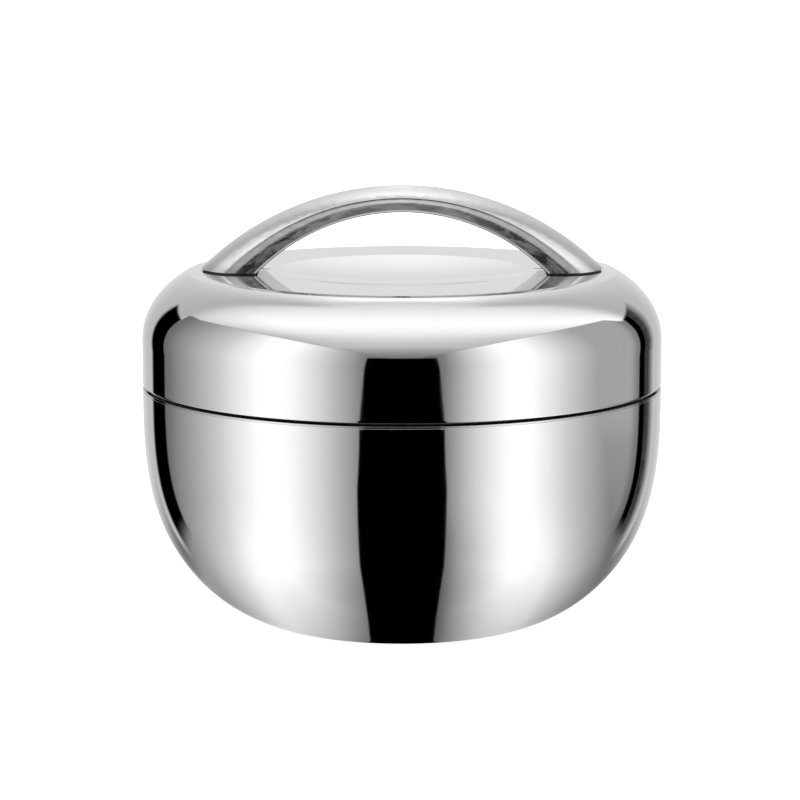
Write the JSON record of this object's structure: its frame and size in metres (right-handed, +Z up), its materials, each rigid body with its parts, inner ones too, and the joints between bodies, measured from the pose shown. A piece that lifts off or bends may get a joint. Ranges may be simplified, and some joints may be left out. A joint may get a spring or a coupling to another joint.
{
  "type": "insulated bowl with lift-off lid",
  "caption": "Round double-walled steel bowl with a flush domed lid, a soft seal in the joint and an arched handle across the lid's flat top.",
  "frame": {"origin": "centre of the base, on the table", "axes": "+Z up along the bowl's axis; the handle's arch runs along X; the picture looks along +Y"},
  "size_m": [0.135, 0.135, 0.113],
  "materials": {
    "mirror_steel": "mirror-polished stainless steel",
    "satin_steel": "fine satin, spun in circles",
    "cast_steel": "cast and polished",
    "fastener_steel": "plain",
    "glass_solder": "glossy fused bead",
    "getter_metal": "pressed powder, matte",
    "foam": "closed-cell foam",
    "white_plastic": "moulded, semi-matte",
    "dark_silicone": "matte"
  },
  "bodies": {
    "bowl": {"bowl_outer_shell": "mirror_steel", "bowl_inner_liner": "satin_steel", "bowl_base_cover": "satin_steel", "bowl_vacuum_seal": "glass_solder", "bowl_getter": "getter_metal"},
    "lid": {"lid_outer_shell": "mirror_steel", "lid_inner_liner": "satin_steel", "lid_foam_disc": "foam", "lid_collar": "white_plastic", "lid_seal_ring": "dark_silicone", "handle": "cast_steel", "handle_pad_left": "dark_silicone", "handle_pad_right": "dark_silicone", "backing_plate_left": "fastener_steel", "backing_plate_right": "fastener_steel", "handle_washer_left": "fastener_steel", "handle_washer_right": "fastener_steel", "handle_screw_left": "fastener_steel", "handle_screw_right": "fastener_steel"}
  },
  "joints": [
    {"name": "lid_lift", "type": "slide", "parent": "bowl", "child": "lid", "axis": [0, 0, 1], "range_m": [0, 0.06]}
  ]
}
